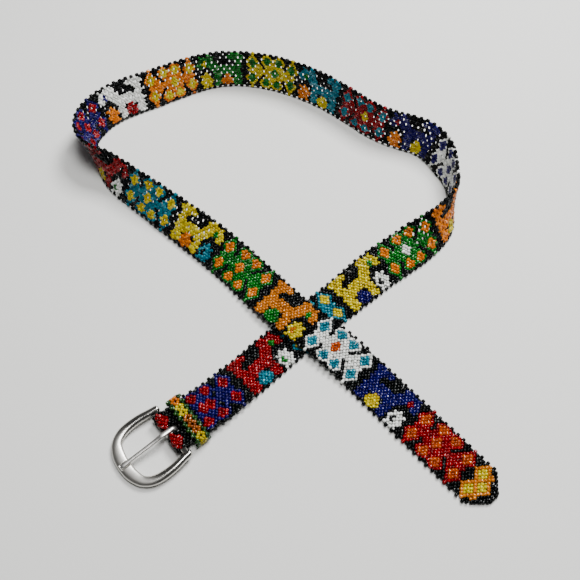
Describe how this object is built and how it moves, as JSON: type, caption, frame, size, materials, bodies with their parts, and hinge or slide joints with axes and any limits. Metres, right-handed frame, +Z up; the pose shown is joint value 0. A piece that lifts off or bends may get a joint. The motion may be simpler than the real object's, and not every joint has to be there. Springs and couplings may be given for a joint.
{
  "type": "beaded belt",
  "caption": "Narrow net-woven seed-bead belt with a pointed tip, a bead keeper and a horseshoe prong buckle, lying in an open loop.",
  "frame": {"origin": "middle of the belt's box, on the surface that it lies on", "axes": "+Z up from the surface; +Y from the crossed ends towards the far side of the loop; the buckle lies towards -X and -Y"},
  "size_m": [0.2982, 0.3606, 0.0321],
  "materials": {
    "strap_beads": "glossy black glass beads with coloured flower and animal panels",
    "keeper_beads": "glossy amber and yellow glass beads with green edges",
    "buckle_metal": "nickel plate, polished arms and a softly worn front",
    "prong_metal": "polished nickel plate"
  },
  "bodies": {
    "root": {"strap_band": "strap_beads", "keeper_loop": "keeper_beads", "buckle_frame": "buckle_metal"},
    "prong": {"prong": "prong_metal"}
  },
  "joints": [
    {"name": "prong_hinge", "type": "hinge", "parent": "root", "child": "prong", "pos_m": [-0.0581, -0.13445, 0.0053], "axis": [-0.6157, 0.788, 0], "range_deg": [0, 105]}
  ]
}
